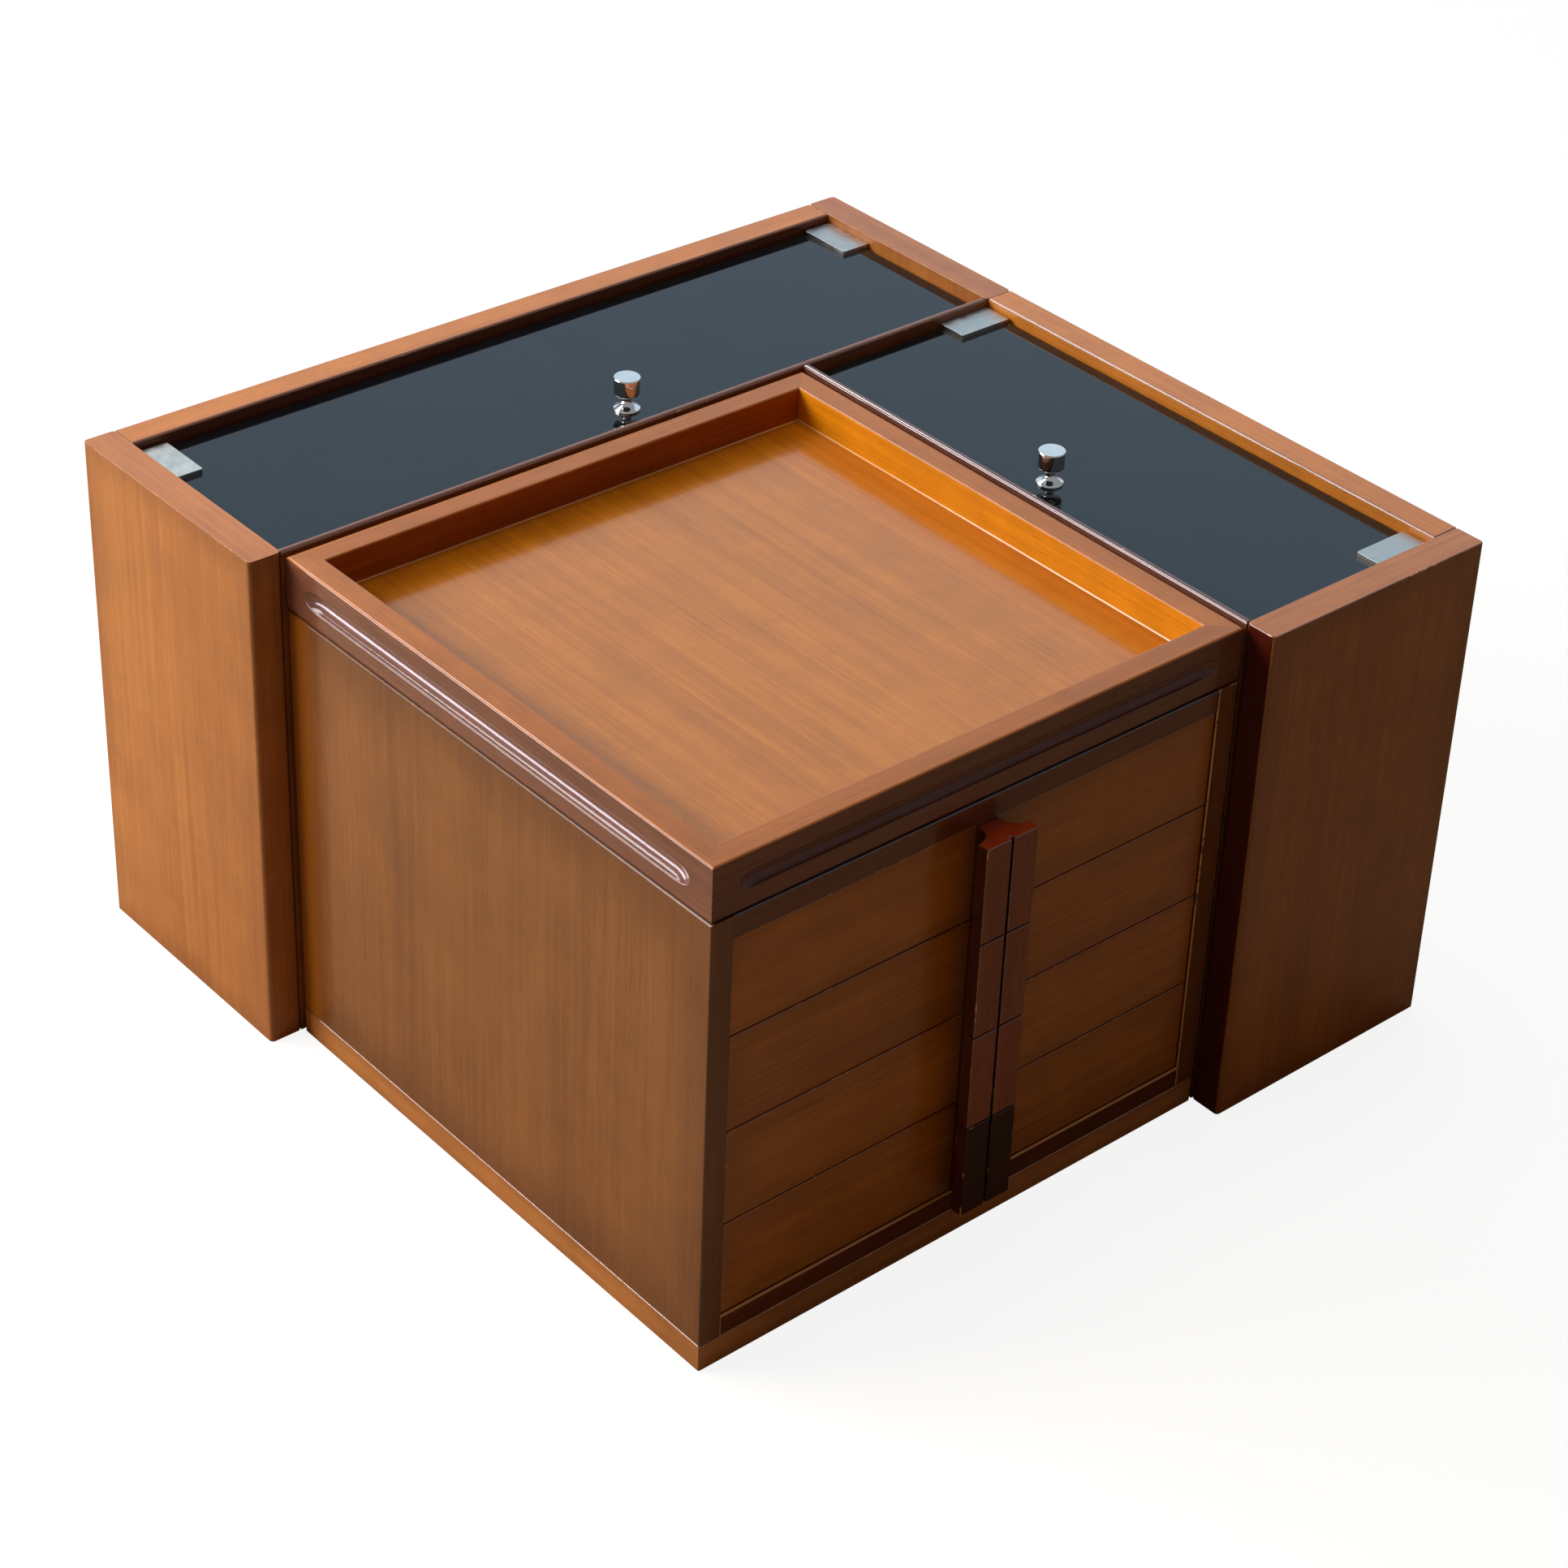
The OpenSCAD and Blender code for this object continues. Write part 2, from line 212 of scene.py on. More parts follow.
def wood(
    name,
    axis,
    light,
    dark,
    lacquer=0.8,
    coat_rough=0.16,
    coat_ior=1.5,
    rough=0.42,
    tone=0.0,
    reach=45,
    fresh=None,
    rubbed=None,
    satin=None,
):
    """Lacquered veneer. tone darkens the board's border as far in as reach, fresh is the colour of a lighter
    strip along the +Y end, and satin is the tint of a shine below the lacquer."""
    g = Graph(bpy.data.materials.new(name))
    at = g.place()
    colour, relief = figured(g, at, axis, light, dark)
    if tone:
        colour = darkened_border(g, at, colour, dark, tone, reach)
    if fresh is not None:
        strip = g.remap(g.back_distance(), 10 * MM, 30 * MM, 0.85, 0.0)
        colour = g.mix(strip, colour, rgba(*fresh))
    if rubbed is not None:
        colour = rubbed_through(g, at, colour, rubbed)
    g.put(g.bsdf.inputs["Base Color"], colour)

    spread = 0.12 if satin is None else 0.03
    scuffs = g.noise(at, scale=85, detail=5, roughness=0.75)
    g.put(g.bsdf.inputs["Roughness"], g.remap(scuffs, 0.35, 0.75, rough - spread / 2, rough + spread))
    g.put(g.bsdf.inputs["Normal"], g.bump(relief, 0.05 * MM))
    g.bsdf.inputs["Specular IOR Level"].default_value = 0.12
    if satin is not None:
        g.bsdf.inputs["Specular IOR Level"].default_value = 0.5
        g.bsdf.inputs["IOR"].default_value = 1.9
        g.bsdf.inputs["Specular Tint"].default_value = rgba(*satin)
    g.bsdf.inputs["Coat Weight"].default_value = lacquer
    g.bsdf.inputs["Coat Roughness"].default_value = coat_rough
    g.bsdf.inputs["Coat IOR"].default_value = coat_ior
    if lacquer:
        peel = g.noise(at, scale=160, detail=2)
        g.put(g.bsdf.inputs["Coat Normal"], g.bump(peel, 0.12 * MM))
    return g.owner


# ---------- glass and metal ----------


def black_glass(name, edge=False):
    """Black glass with smears and a little dust, or its ground, greenish edge."""
    g = Graph(bpy.data.materials.new(name))
    at = g.place()
    smear = g.noise(g.vector("MULTIPLY", at, (14, 9, 14)), detail=5, roughness=0.65, distortion=0.8)
    dust = g.noise(at, scale=900, detail=1)
    tint = g.mix(g.remap(smear, 0.35, 0.8), rgba(0.0030, 0.0036, 0.0042), rgba(0.0060, 0.0070, 0.0078))
    tint = g.mix(g.remap(dust, 0.74, 0.80), tint, rgba(0.035, 0.037, 0.038))
    if edge:
        tint = rgba(0.010, 0.018, 0.016)
    g.put(g.bsdf.inputs["Base Color"], tint)
    g.put(g.bsdf.inputs["Roughness"], g.remap(smear, 0.3, 0.8, 0.02, 0.055 if not edge else 0.12))
    g.bsdf.inputs["IOR"].default_value = 1.5
    return g.owner


def nickel(name, axis, bright=1.0):
    """Satin plate: fine brushing along one axis, and dull patches."""
    g = Graph(bpy.data.materials.new(name))
    at = g.place()
    brushing = g.noise(g.vector("MULTIPLY", at, stretched(axis, 2600, 45)), detail=2)
    patch = g.noise(at, scale=130, detail=4, roughness=0.7)
    colour = g.mix(
        g.remap(patch, 0.35, 0.7), rgba(0.60 * bright, 0.57 * bright, 0.51 * bright), rgba(0.68, 0.64, 0.57)
    )
    colour = g.mix(1.0, colour, g.remap(brushing, 0.3, 0.7, 0.93, 1.05), "MULTIPLY")
    g.put(g.bsdf.inputs["Base Color"], colour)
    g.bsdf.inputs["Metallic"].default_value = 1.0
    g.put(g.bsdf.inputs["Roughness"], g.remap(patch, 0.3, 0.75, 0.30, 0.46))
    g.put(g.bsdf.inputs["Normal"], g.bump(brushing, 0.02 * MM))
    return g.owner


def polished(name, colour, low, high):
    """Bright metal with faint smears in its polish."""
    g = Graph(bpy.data.materials.new(name))
    at = g.place()
    smear = g.noise(at, scale=210, detail=4, roughness=0.7)
    dull = tuple(c * 0.90 for c in colour)
    g.put(g.bsdf.inputs["Base Color"], g.mix(g.remap(smear, 0.35, 0.75), rgba(*colour), rgba(*dull)))
    g.bsdf.inputs["Metallic"].default_value = 1.0
    g.put(g.bsdf.inputs["Roughness"], g.remap(smear, 0.35, 0.75, low, high))
    return g.owner


# ---------- meshes ----------


def finish_mesh(name, bm, mats, node, even=True):
    """Makes an object from bm that stands in for a CAD node and rides on its body."""
    mesh = bpy.data.meshes.new(name)
    bm.normal_update()
    bm.to_mesh(mesh)
    bm.free()
    for m in mats:
        mesh.materials.append(m)
    mesh.shade_smooth()
    mesh.set_sharp_from_angle(angle=SHARP)
    obj = bpy.data.objects.new(name, mesh)
    bpy.context.scene.collection.objects.link(obj)
    corners = [v.co for v in mesh.vertices]
    obj["size"] = [max(c[i] for c in corners) - min(c[i] for c in corners) for i in range(3)]
    if even:
        obj.modifiers.new("even_normals", "WEIGHTED_NORMAL").keep_sharp = True
    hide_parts(node)
    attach(obj, BODY[node])


def always(middle, way):
    return True


def sharp_edges(bm):
    return [e for e in bm.edges if len(e.link_faces) == 2 and e.calc_face_angle() > SHARP]


def soften(node, mats, radius, special=(), segments=3, paint=None):
    """The CAD solid of one node, with its flat faces made whole and its arrises rounded.
    special lists (test, radius) for edges that are rounder; a test reads an edge's middle and direction.
    paint gives the number of the material for a face of a given normal."""
    bm = bmesh.new()
    bm.from_mesh(frame["nodes"][node].data)
    bmesh.ops.remove_doubles(bm, verts=bm.verts, dist=1e-6)
    bmesh.ops.dissolve_limit(bm, angle_limit=FLAT, verts=bm.verts, edges=bm.edges)
    if paint is not None:
        bm.normal_update()
        for f in bm.faces:
            f.material_index = paint(f.normal)
    for test, r in [*special, (always, radius)]:
        chosen = []
        for e in sharp_edges(bm):
            a, b = (v.co for v in e.verts)
            if test((a + b) / 2, (b - a).normalized()):
                chosen.append(e)
        if chosen:
            bmesh.ops.bevel(
                bm,
                geom=chosen,
                offset=r * MM,
                offset_type="OFFSET",
                segments=segments,
                profile=0.5,
                affect="EDGES",
                clamp_overlap=True,
                material=1,
            )
    finish_mesh(node + "_piece", bm, mats, node)


def lathe(name, profile, centre, mats, node):
    """A turned piece: profile lists (radius, height) from the axis to the axis, in millimetres."""
    steps = 72
    bm = bmesh.new()
    rings = []
    for r, z in profile:
        if r == 0:
            rings.append([bm.verts.new(centre + Vector((0, 0, z * MM)))])
            continue
        ring = []
        for k in range(steps):
            a = 2 * math.pi * k / steps
            ring.append(bm.verts.new(centre + Vector((r * math.cos(a), r * math.sin(a), z)) * MM))
        rings.append(ring)
    for low, high in zip(rings, rings[1:]):
        for k in range(steps):
            n = (k + 1) % steps
            corners = [low[k % len(low)], low[n % len(low)], high[n % len(high)], high[k % len(high)]]
            bm.faces.new(list(dict.fromkeys(corners)))
    finish_mesh(name, bm, mats, node, even=False)


def arc(centre, radius, start, end, steps):
    """Points of an arc, angles in degrees, ends included."""
    out = []
    for k in range(steps + 1):
        a = math.radians(start + (end - start) * k / steps)
        out.append((centre[0] + radius * math.cos(a), centre[1] + radius * math.sin(a)))
    return out


# ---------- the record's names ----------

record = frame["record"]
BODY = {n: body for body, nodes in record["behaviour"]["bodies"].items() for n in nodes}

# ---------- materials ----------

OUTER = dict(light=(0.58, 0.215, 0.050), dark=(0.42, 0.135, 0.028))
# A brighter, more saturated copy of the outer wood. It is painted light on the tops of the rear bin's back
# and the side bin's outer wall, and on that wall's lit inner face.
LIT = dict(light=(0.68, 0.240, 0.032), dark=(0.50, 0.155, 0.018))
DIM = dict(light=(0.50, 0.165, 0.030), dark=(0.36, 0.105, 0.016))
SIDE = dict(light=(0.330, 0.120, 0.030), dark=(0.215, 0.072, 0.018))
FRONT = dict(light=(0.55, 0.175, 0.018), dark=(0.36, 0.104, 0.009))
RIM = dict(light=(0.52, 0.165, 0.010), dark=(0.36, 0.104, 0.005))
RAIL = dict(light=(0.26, 0.096, 0.055), dark=(0.16, 0.054, 0.033))
LIP = dict(light=(0.40, 0.140, 0.050), dark=(0.26, 0.085, 0.028))
# Inner faces of the tray rails: bright orange painted light on the left and right rails, darker painted
# shade on the front and back rails.
LIT_INSIDE = dict(light=(0.86, 0.310, 0.006), dark=(0.60, 0.185, 0.003))
SHADED_INSIDE = dict(light=(0.54, 0.135, 0.001), dark=(0.30, 0.062, 0.001))
# Pale orange of the glue fillet where a rail meets the tray floor: a painted highlight line.
BEAD_HIGHLIGHT = dict(light=(0.78, 0.42, 0.16), dark=(0.55, 0.22, 0.05))
PLINTH = dict(light=(0.66, 0.270, 0.105), dark=(0.48, 0.180, 0.060))
# Dark brown painted shade for the inner, front-facing face of the rear bin's back.
SHADE_BROWN = dict(light=(0.24, 0.072, 0.024), dark=(0.13, 0.034, 0.012))
# Near-black red painted shade, for faces that the light does not reach.
SHADED = dict(light=(0.10, 0.010, 0.003), dark=(0.05, 0.004, 0.001))
FLOOR = dict(light=(0.64, 0.212, 0.008), dark=(0.43, 0.128, 0.003))
FRAME = dict(light=(0.20, 0.050, 0.014), dark=(0.11, 0.024, 0.008))
HANDLE = dict(light=(0.31, 0.070, 0.015), dark=(0.20, 0.040, 0.008))
# A near-black copy of the handle's wood for the lowest drawer's handle: painted shade.
LOW_HANDLE_SHADE = dict(light=(0.045, 0.006, 0.002), dark=(0.024, 0.003, 0.001))
CROWN = dict(light=(0.34, 0.040, 0.002), dark=(0.24, 0.022, 0.001))
INSIDE = dict(light=(0.62, 0.40, 0.20), dark=(0.50, 0.30, 0.14))
PLY = dict(light=(0.68, 0.47, 0.26), dark=(0.56, 0.36, 0.18))


def lacquered(name, axis, colours, rubbed=0.3, edge_ior=2.0, **more):
    """A wood and, for its arrises, a darker colour (partly edge stain and partly painted shade in the seams
    between boards) that is rubbed through in places, and a harder shine.
    """
    face = wood(name, axis, **colours, **more)
    # The arris colour is the face colour darkened: partly edge stain, partly painted shade in the seams
    # between boards.
    edge = {key: tuple(c * 0.62 for c in colour) for key, colour in colours.items()}
    more.update(rubbed=rubbed, coat_rough=0.08, coat_ior=edge_ior, tone=0.0)
    return [face, wood(name + "_arris", axis, **edge, **more)]


outer_z = lacquered("outer_upright", "Z", OUTER, tone=0.35, reach=26, rubbed=0.6)
end_z = lacquered("end_upright", "Z", DIM, tone=0.35, reach=26)
outer_x = lacquered("outer_along_x", "X", OUTER, tone=0.30, reach=12, rubbed=0.05)
outer_y = lacquered("outer_along_y", "Y", OUTER, tone=0.30, reach=12, rubbed=0.05)
lit_x = wood("lit_along_x", "X", **LIT)
lit_y = wood("lit_along_y", "Y", **LIT)
end_top_x = wood("end_top_along_x", "X", **OUTER)
end_top_y = wood("end_top_along_y", "Y", **OUTER)
plinth_x = lacquered("plinth_along_x", "X", PLINTH, tone=0.30, reach=12)
lip_x = lacquered("lip_along_x", "X", LIP, tone=0.3, reach=10, coat_rough=0.08, rubbed=0.15)
lip_y = lacquered("lip_along_y", "Y", RAIL, tone=0.3, reach=10, coat_rough=0.08, rubbed=0.15)
left_z = lacquered(
    "left_side_upright",
    "Z",
    SIDE,
    rubbed=0.05,
    edge_ior=1.6,
    tone=0.45,
    reach=50,
    coat_rough=0.14,
    # a lighter orange strip along the side's +Y end
    fresh=(0.40, 0.120, 0.002),
)
# The stile's arris is bared in many patches: partly real wear, partly a painted lit line along the edge of
# the drawer opening.
stile_z = lacquered("stile_upright", "Z", SIDE, rubbed=0.7, tone=0.3, reach=20, coat_rough=0.14)
frame_x = lacquered("frame_along_x", "X", FRAME, rubbed=0.12)
# The sill's arris is bared nearly all over: a painted lit line along its front edge below the bottom drawer.
sill_x = lacquered("sill_along_x", "X", FRAME, rubbed=1.0, lacquer=0.3)
front_x = lacquered("front_along_x", "X", FRONT, tone=0.25, reach=20, coat_rough=0.14)
rim_x = lacquered("rim_along_x", "X", RIM, coat_rough=0.10)
rim_y = lacquered("rim_along_y", "Y", RIM, coat_rough=0.10)
# The tray floor's darkened border along the rails is painted shade.
tray_y = lacquered(
    "tray_floor_along_y",
    "Y",
    FLOOR,
    tone=0.3,
    reach=45,
    lacquer=0.65,
    coat_rough=0.10,
    rough=0.20,
    satin=(1.0, 0.50, 0.16),
)
rail_x = wood("rail_along_x", "X", **RAIL, coat_rough=0.12, lacquer=0.6)
rail_y = wood("rail_along_y", "Y", **RAIL, coat_rough=0.12, lacquer=1.0)
shaded_inside_x = wood("rail_inside_along_x", "X", **SHADED_INSIDE, coat_rough=0.10, lacquer=0.2)
lit_inside_y = wood("rail_inside_along_y", "Y", **LIT_INSIDE, coat_rough=0.10, lacquer=0.35)
# The rail's foot rounding is painted near-black shade: the dark seam under the tray.
foot_x = wood("rail_foot_along_x", "X", **SHADED, coat_rough=0.08)
foot_y = wood("rail_foot_along_y", "Y", **SHADED, coat_rough=0.08)
bead_highlight_x = wood("bead_along_x", "X", **BEAD_HIGHLIGHT, coat_rough=0.10)
bead_highlight_y = wood("bead_along_y", "Y", **BEAD_HIGHLIGHT, coat_rough=0.10)
shaded_x = wood("shaded_along_x", "X", **SHADE_BROWN, coat_rough=0.12)
shaded_z = wood("shaded_upright", "Z", **SHADED, coat_rough=0.12)
handle_end = wood("handle_end", "Z", **CROWN)
handle_z = [*lacquered("handle_upright", "Z", HANDLE, coat_rough=0.12, rubbed=0.24), shaded_z, handle_end]
# The lowest handle is painted far darker than the others: painted shade.
low_handle_z = [*lacquered("low_handle_upright", "Z", LOW_HANDLE_SHADE, lacquer=0.35), shaded_z, handle_end]
plain = {a: lacquered("plain_" + a, a, INSIDE, lacquer=0.0, rough=0.55) for a in "XYZ"}
ply = {a: lacquered("ply_" + a, a, PLY, lacquer=0.0, rough=0.6) for a in "XY"}
glass = [black_glass("black_glass"), black_glass("black_glass_edge", edge=True)]
plate = {a: [nickel("nickel_" + a, a), nickel("nickel_edge_" + a, a, bright=1.2)] for a in "XY"}
chrome = [polished("chrome", (0.98, 0.91, 0.83), 0.03, 0.09)]
steel = [polished("browned_steel", (0.10, 0.09, 0.08), 0.35, 0.5)] * 2
brass = [polished("brass", (0.70, 0.50, 0.22), 0.22, 0.35)] * 2

# ---------- cabinet ----------

lo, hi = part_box("cabinet_left_side")
cab_x, cab_y, cab_top = lo.x, lo.y, hi.z
bin_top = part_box("rear_bin_left_end")[1].z


TO_LEFT = Vector((-1, 0, 0))
TO_FRONT = Vector((0, -1, 0))
UPWARD = Vector((0, 0, 1))


def near(value, target):
    return abs(value - target) < 0.6 * MM


def above(z):
    """A test for the edges that are higher than z."""
    return lambda middle, way: middle.z > z


def front_rim(z):
    """A test for the cabinet's front edge at the height z."""
    return lambda middle, way: near(middle.y, cab_y) and near(middle.z, z)


def facing(*sides):
    """Paints a board by side. sides lists (outward direction, number of the material). The rest is 0."""

    def number(normal):
        for way, k in sides:
            if normal.dot(way) > 0.9:
                return k
        return 0

    return number


for k, side in enumerate(("front", "right", "back", "left")):
    soften("plinth_" + side, (plinth_x, outer_y)[k % 2], 0.8)
soften("cabinet_left_side", left_z, 0.5, [(lambda m, w: m.x < cab_x + MM, 1.4)])
soften("cabinet_right_side", stile_z, 0.5, [(lambda m, w: near(m.y, cab_y), 0.9)])
soften("cabinet_bottom", sill_x, 0.5, [(front_rim(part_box("cabinet_bottom")[1].z), 1.4)], segments=4)
soften("cabinet_top", frame_x, 0.5, [(front_rim(cab_top), 1.2)])
soften("cabinet_back", ply["X"], 0.5)
soften("drawer_runners", plain["Y"], 0.6)
soften("assembly_screws", steel, 0.3)
soften("pivot_bushes", brass, 0.15)

# ---------- bins ----------

for name in ("rear_bin_left_end", "rear_bin_right_end"):
    soften(name, [*outer_z, end_top_y], 1.0, paint=facing((UPWARD, 2)))
# Its left face is painted dark shade.
soften("side_bin_front_end", [*end_z, shaded_z, end_top_x], 1.0, paint=facing((TO_LEFT, 2), (UPWARD, 3)))
inner_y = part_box("rear_bin_back")[0].y
inner_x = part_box("side_bin_outer_wall")[0].x
# Its inner, front-facing face is painted dark brown shade, and its top a brighter orange painted light.
soften(
    "rear_bin_back",
    [*outer_x, shaded_x, lit_x],
    0.9,
    [(lambda m, w: m.z > bin_top - MM and near(m.y, inner_y), 1.6)],
    segments=4,
    paint=facing((TO_FRONT, 2), (UPWARD, 3)),
)
# Its top and its inner, left-facing face are painted a brighter orange: painted light.
soften(
    "side_bin_outer_wall",
    [*outer_y, lit_y],
    0.9,
    [(lambda m, w: m.z > bin_top - MM and near(m.x, inner_x), 1.5)],
    segments=4,
    paint=facing((TO_LEFT, 2), (UPWARD, 2)),
)
soften("rear_bin_front", lip_x, 0.5, [(above(bin_top - MM), 2.2)], segments=5)
soften("side_bin_inner_wall", lip_y, 0.5, [(above(bin_top - MM), 2.2)], segments=5)
soften("rear_bin_floor", ply["X"], 0.4)
soften("side_bin_floor", ply["Y"], 0.4)

# ---------- lids ----------

PIVOTS = {j["child"]: j["pos_m"] for j in record["behaviour"]["joints"] if j["type"] == "hinge"}


def plate_corner(lid, k):
    """A test for the upright corners of a lid's clamps, which along axis k are clear of the pivot's pin."""
    return lambda middle, way: abs(way.z) > 0.9 and abs(middle[k] - PIVOTS[lid][k]) > 3 * MM


def turned_knob(side):
    """A collar, a waist and a straight head with a softened top, as tall and as wide as the CAD knob."""
    lo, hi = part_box(side + "_knob")
    r, h = (hi.x - lo.x) / 2 / MM, (hi.z - lo.z) / MM
    collar = [(0, 0), (r - 0.2, 0), *arc((r - 0.7, 0.9), 0.7, -20, 60, 5), (r - 1.4, 2.1), (r - 2.6, 2.9)]
    waist = [(5.4, 3.8), (4.4, 4.8), (3.7, 6.0), (3.4, 7.2)]
    neck = [(3.4, 9.0), (3.8, 10.0), (4.8, 10.9), (6.4, 11.8)]
    head = [*arc((r - 1.8, 13.6), 1.8, -60, 0, 6), (r, h - 1.2), *arc((r - 0.9, h - 0.9), 0.9, 0, 90, 6)]
    top = [(r - 3, h - 0.02), (0, h)]
    centre = Vector(((lo.x + hi.x) / 2, (lo.y + hi.y) / 2, lo.z))
    lathe(side + "_knob_turned", collar + waist + neck + head + top, centre, chrome, side + "_knob")


for side, axis in (("rear", "Y"), ("side", "X")):
    soften(side + "_glass", glass, 0.7)
    corner = plate_corner(side + "_lid", "XYZ".index(axis))
    for end in "ab":
        soften(f"{side}_hinge_{end}", plate[axis], 0.55, [(corner, 1.2)])
    soften(side + "_lid_screws", steel, 0.3)
    turned_knob(side)

# ---------- drawers ----------


def handle_paint(normal):
    """Brown in front, painted dark shade on the sides and in the coves, and darker red on the ends."""
    if abs(normal.z) > 0.9:
        return 3
    return 0 if normal.y < -0.9 else 2


for i in range(1, 5):
    name = f"drawer_{i}_"
    soften(name + "front", front_x, 0.45)
    soften(name + "left_side", plain["Y"], 0.6)
    soften(name + "right_side", plain["Y"], 0.6)
    soften(name + "back", plain["X"], 0.6)
    soften(name + "bottom", ply["X"], 0.2)
    soften(name + "handle", handle_z if i < 4 else low_handle_z, 0.7, paint=handle_paint)

# ---------- tray ----------


# The finger grooves, in millimetres, are those of a round-nosed cutter whose axis runs just outside the
# rail's face. At both ends the cutter leaves the wood along an arc.
CUTTER_R = 6.4
CUTTER_OUT = 0.6
CUTTER_BEND = 30.0
CUTTER_RUN = math.sqrt(CUTTER_BEND**2 - (CUTTER_BEND - (CUTTER_R - CUTTER_OUT)) ** 2)
GROOVE_END = 20.0
GROOVE_STRAIGHT = GROOVE_END + CUTTER_RUN
GROOVE_SIDE = 7.0
LIP_R = 1.3
LIP_BAND = 0.5
# The rail's other edges. A narrow flat band beside each rounding keeps the smooth shading there.
RIM_OUT_R = 1.6
RIM_IN_R = 1.3
FOOT_R = 2.4
BAND = 0.4
GLUE = 0.8


def rail_section(width, height, floor_high, floor_low, pocket, offset):
    """The section of a tray rail, as (depth from the outer face, height).
    offset is how far outside the face the groove's cutter is centred."""
    middle = height / 2
    o = min(offset, CUTTER_R - 0.06)
    lip = math.sqrt((CUTTER_R + LIP_R) ** 2 - (LIP_R + o) ** 2)
    tilt = math.degrees(math.atan2(lip, LIP_R + o))
    groove = arc((LIP_R, -lip), LIP_R, 180, 180 - tilt, 5)
    groove += arc((-o, 0), CUTTER_R, -tilt, tilt, 18)[1:-1]
    groove += arc((LIP_R, lip), LIP_R, 180 + tilt, 180, 5)
    if offset >= CUTTER_R:
        groove = [(0, z) for d, z in groove]
    points = [(width - pocket, floor_low), (width - pocket, 0.0)]
    points += arc((FOOT_R, FOOT_R), FOOT_R, 270, 180, 3)
    points += [(0, FOOT_R + BAND), (0, middle - lip - LIP_BAND)]
    points += [(d, middle + z) for d, z in groove]
    points += [(0, middle + lip + LIP_BAND), (0, height - RIM_OUT_R - BAND)]
    points += arc((RIM_OUT_R, height - RIM_OUT_R), RIM_OUT_R, 180, 90, 4)
    points += [(RIM_OUT_R + BAND, height), (width - RIM_IN_R - BAND, height)]
    points += arc((width - RIM_IN_R, height - RIM_IN_R), RIM_IN_R, 90, 0, 4)
    points += [(width, height - RIM_IN_R - BAND), (width, floor_high + GLUE)]
    points += [(width + GLUE, floor_high + 0.05), (width - pocket, floor_high)]
    return points


def rail_stations(side, width):
    """Where along a rail its section is set out, close together where the groove runs out."""
    run_out = [GROOVE_END + CUTTER_RUN * (1 - math.cos(math.pi / 2 * k / 14)) for k in range(15)]
    near_end = [0.0, width + 0.85, *run_out]
    middle = [GROOVE_STRAIGHT + (side - 2 * GROOVE_STRAIGHT) * k / 12 for k in range(1, 12)]
    return near_end + middle + [side - u for u in reversed(near_end)]


def cutter_offset(u, side):
    """How far outside the rail's face the cutter's axis is, at the distance u along the rail."""
    away = max(0.0, GROOVE_STRAIGHT - min(u, side - u))
    return CUTTER_OUT + CUTTER_BEND - math.sqrt(max(0.0, CUTTER_BEND**2 - min(away, CUTTER_BEND) ** 2))


def rail_paint(start, end, width, height, floor_high):
    """The number of the material between two points of a rail's section."""
    depth, z = start
    # the foot rounding: painted shade in the seam under the tray
    if z < FOOT_R:
        return 3
    if depth < GROOVE_SIDE and end[0] < GROOVE_SIDE and z < height - 1:
        return 1
    # inner faces: painted light on the left and right rails and painted shade on the front and back rails;
    # the glue fillet at the floor is a painted highlight
    if depth > width - 0.2 and z < height - 0.5:
        return 4 if z < floor_high + GLUE + 0.01 else 2
    return 0


def rail(node, mats, turn):
    """One mitred rail of the tray, its groove running out of the wood at both ends."""
    lo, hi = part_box("tray_front_rail")
    side, width, height = (hi.x - lo.x) / MM, (hi.y - lo.y) / MM, (hi.z - lo.z) / MM
    floor_lo, floor_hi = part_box("tray_floor")
    floor_high, floor_low = (floor_hi.z - lo.z) / MM, (floor_lo.z - lo.z) / MM
    pocket = (hi.y - floor_lo.y) / MM
    centre = Vector(((lo.x + hi.x) / 2, lo.y + side * MM / 2, lo.z))
    spin = Matrix.Rotation(math.radians(90) * turn, 3, "Z")
    bm = bmesh.new()
    rows = []
    for u in rail_stations(side, width):
        row = []
        for d, z in rail_section(width, height, floor_high, floor_low, pocket, cutter_offset(u, side)):
            x = min(max(u, d), side - d)
            row.append(bm.verts.new(centre + spin @ (Vector((x - side / 2, d - side / 2, z)) * MM)))
        rows.append(row)
    section = rail_section(width, height, floor_high, floor_low, pocket, CUTTER_OUT)
    for k, start in enumerate(section):
        n = (k + 1) % len(section)
        paint = rail_paint(start, section[n], width, height, floor_high)
        for a, b in zip(rows, rows[1:]):
            bm.faces.new([a[k], b[k], b[n], a[n]]).material_index = paint
    bm.faces.new(reversed(rows[0]))
    bm.faces.new(rows[-1])
    bmesh.ops.recalc_face_normals(bm, faces=bm.faces)
    finish_mesh(node + "_piece", bm, mats, node, even=False)


for k, side in enumerate(("front", "right", "back", "left")):
    # By number: rim, outer face, inner face (painted light and shade), foot (painted shade), glue fillet
    # (painted highlight).
    pairs = ((rim_x[0], rim_y[0]), (rail_x, rail_y), (shaded_inside_x, lit_inside_y), (foot_x, foot_y), (bead_highlight_x, bead_highlight_y))
    rail(f"tray_{side}_rail", [pair[k % 2] for pair in pairs], k)
soften("tray_floor", tray_y, 0.1)

# ---------- stage, light and camera ----------


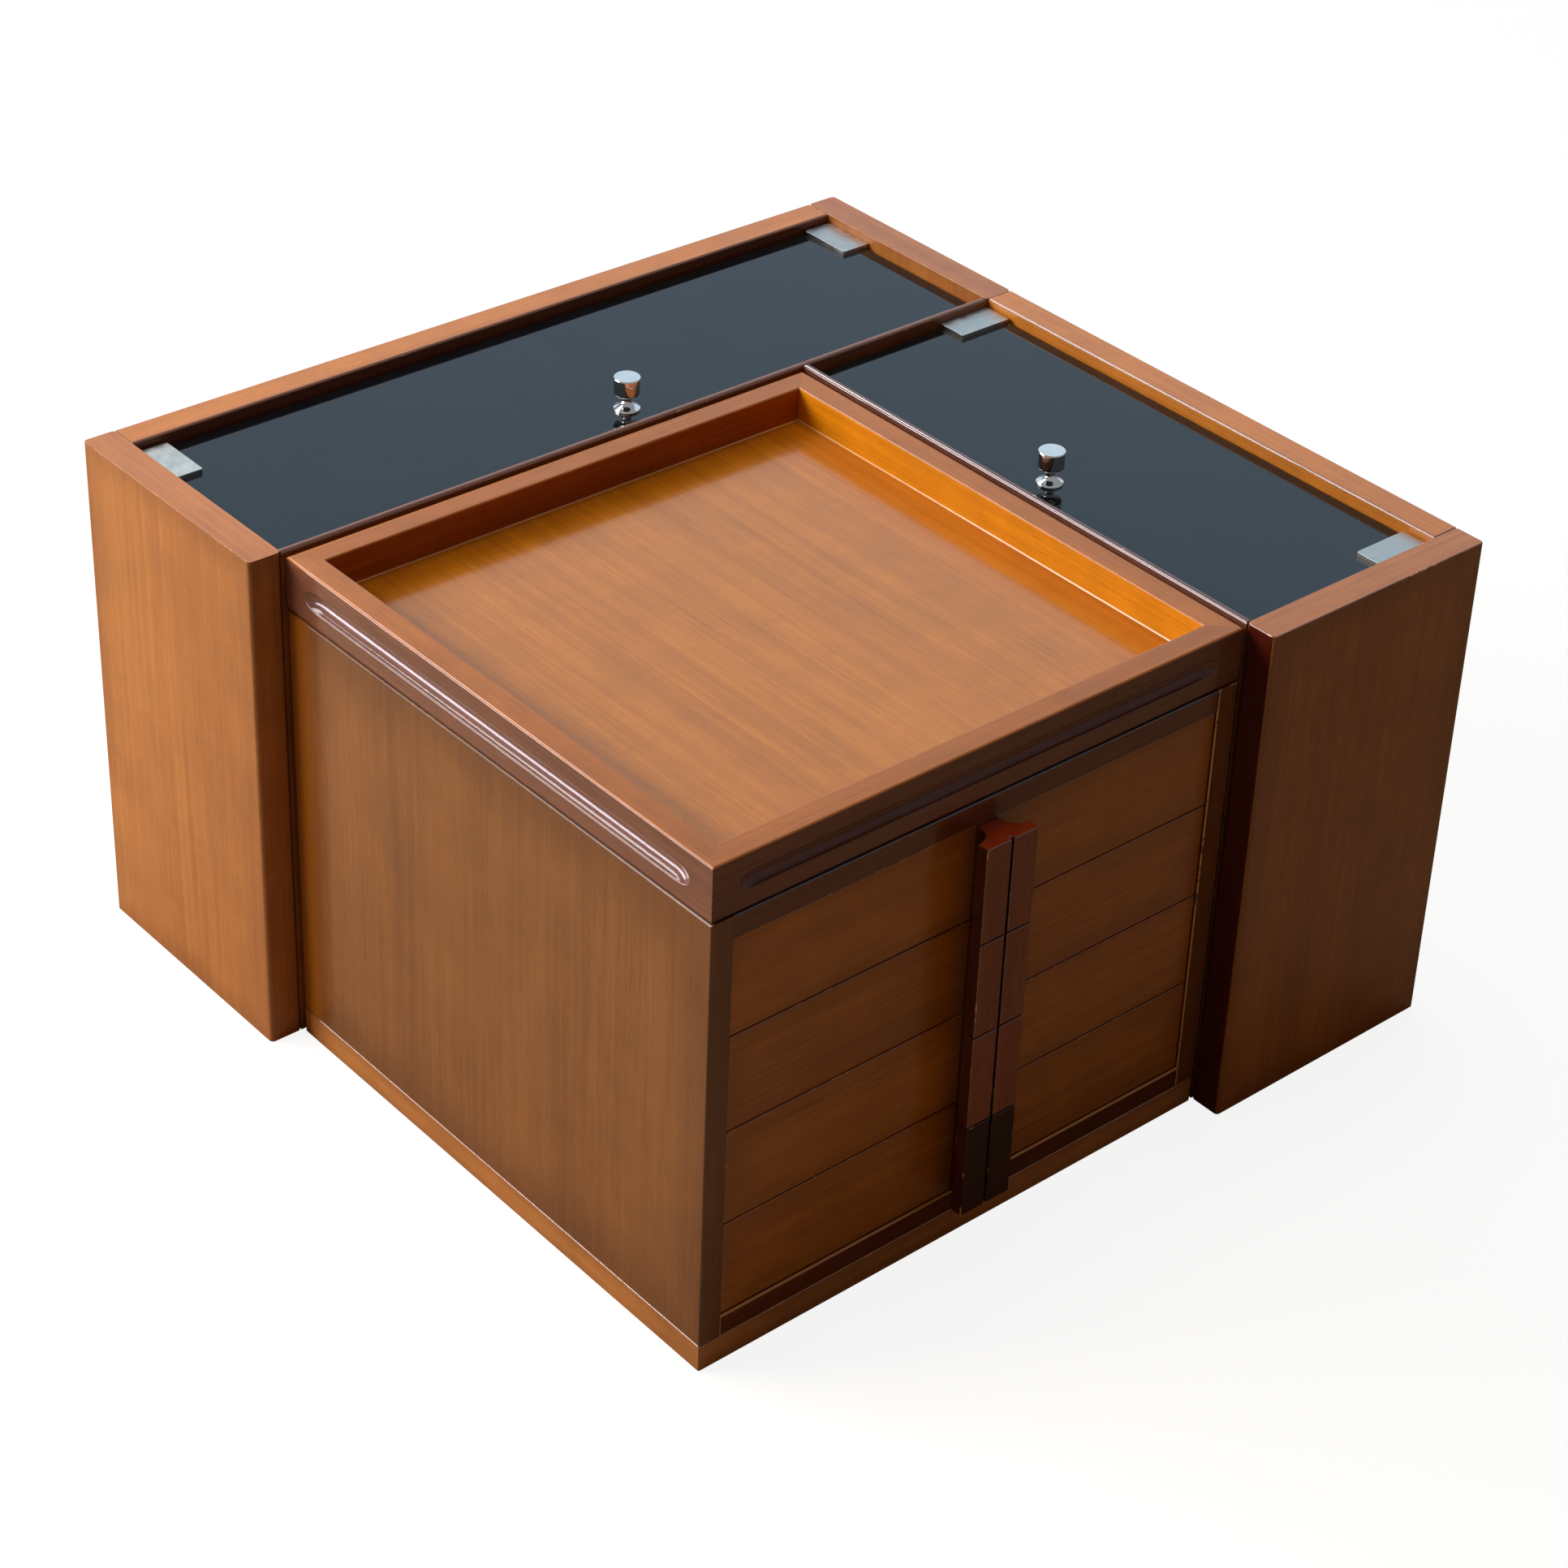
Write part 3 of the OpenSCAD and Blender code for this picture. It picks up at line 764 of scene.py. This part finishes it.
def shade_floor():
    """Evenly pale where the camera looks at it, and a plain lit floor for the light that it throws back."""
    g = Graph(bpy.data.materials.new("studio_floor"))
    at = g.place()
    pale = g.mix(g.noise(at, scale=3, detail=2), rgba(0.19, 0.19, 0.19), rgba(0.2, 0.2, 0.2))
    grey = g.mix(g.noise(at, scale=3, detail=2), rgba(0.38, 0.30, 0.20), rgba(0.42, 0.33, 0.225))
    seen = g.node("ShaderNodeLightPath").outputs["Is Camera Ray"]
    g.put(g.bsdf.inputs["Base Color"], g.mix(seen, grey, pale))
    g.bsdf.inputs["Roughness"].default_value = 0.9
    g.bsdf.inputs["Specular IOR Level"].default_value = 0.0
    g.bsdf.inputs["Emission Color"].default_value = rgba(1.0, 1.0, 1.0)
    g.put(g.bsdf.inputs["Emission Strength"], g.math("MULTIPLY", seen, 0.88))
    return g.owner


def make_floor():
    """A floor that reaches far past the edges of every view."""
    bm = bmesh.new()
    reach = 40.0
    ring = [bm.verts.new((x * reach, y * reach, 0)) for x, y in ((-1, -1), (1, -1), (1, 1), (-1, 1))]
    bm.faces.new(ring)
    mesh = bpy.data.meshes.new("studio_floor")
    bm.to_mesh(mesh)
    bm.free()
    mesh.materials.append(shade_floor())
    floor = bpy.data.objects.new("studio_floor", mesh)
    bpy.context.scene.collection.objects.link(floor)


def make_world():
    """White behind the object, dim pale blue where it is mirrored, and dimmer still where it lights wood."""
    world = bpy.data.worlds.new("studio")
    g = Graph(world)
    ray = g.node("ShaderNodeLightPath").outputs
    colour = g.mix(ray["Is Glossy Ray"], rgba(0.100, 0.066, 0.036), rgba(0.24, 0.29, 0.34))
    colour = g.mix(ray["Is Camera Ray"], colour, rgba(1.0, 1.0, 1.0))
    g.put(g.tree.nodes["Background"].inputs["Color"], colour)
    bpy.context.scene.world = world


AIM = Vector((0, 0, 0.3))


def softbox(name, toward, distance, width, height, radiance, colour, lights=True, shines=True):
    """An area lamp in a direction from the object, facing it, of a given radiance.
    One that lights is felt by matt surfaces, and one that shines is mirrored in glossy ones."""
    lamp = bpy.data.lights.new(name, "AREA")
    lamp.shape = "RECTANGLE"
    lamp.size, lamp.size_y = width, height
    lamp.energy = radiance * math.pi * width * height
    lamp.color = colour
    obj = bpy.data.objects.new(name, lamp)
    way = Vector(toward).normalized()
    obj.location = AIM + way * distance
    obj.visible_diffuse = lights
    obj.visible_glossy = shines
    obj.rotation_euler = way.to_track_quat("Z", "Y").to_euler()
    bpy.context.scene.collection.objects.link(obj)


CAMERA_PLACE = (-1.37485, -1.5799, 1.5584)
CAMERA_SIGHT = (0.57561741, 0.62839633, -0.52324243)
CAMERA_ROLL = math.radians(2.95)


def make_camera():
    """The photo's camera, as fitted to the corners of the unit."""
    data = bpy.data.cameras.new("camera")
    data.lens = 84.28
    data.sensor_width = 36.0
    data.shift_x = -0.0442
    data.shift_y = -0.0970
    data.clip_end = 200
    cam = bpy.data.objects.new("camera", data)
    forward = Vector(CAMERA_SIGHT).normalized()
    level = forward.cross(Vector((0, 0, 1))).normalized()
    square = level.cross(forward)
    right = level * math.cos(CAMERA_ROLL) + square * math.sin(CAMERA_ROLL)
    up = square * math.cos(CAMERA_ROLL) - level * math.sin(CAMERA_ROLL)
    turn = Matrix((right, up, -forward)).transposed().to_4x4()
    cam.matrix_world = Matrix.Translation(CAMERA_PLACE) @ turn
    bpy.context.scene.collection.objects.link(cam)
    bpy.context.scene.camera = cam


make_floor()
make_world()
softbox("window", (-0.66, 0.60, 0.46), 3.0, 2.2, 1.2, 12.7, (1.0, 0.96, 0.90), shines=False)
softbox("ceiling", (0.05, 0.10, 1.0), 3.0, 1.5, 1.5, 4.6, (1.0, 0.95, 0.88), shines=False)
softbox("low_strip", (-0.77, 0.628, 0.09), 3.0, 2.8, 0.9, 14.0, (0.92, 0.90, 1.0), lights=False)
softbox("high_strip", (-0.244, 0.628, 0.739), 3.0, 2.4, 0.6, 11.0, (1.0, 0.97, 0.95), lights=False)
softbox("back", (0.58, 0.63, 0.52), 3.6, 5.2, 4.0, 0.71, (0.43, 0.62, 0.82))
make_camera()
bpy.context.scene.view_settings.view_transform = "Standard"
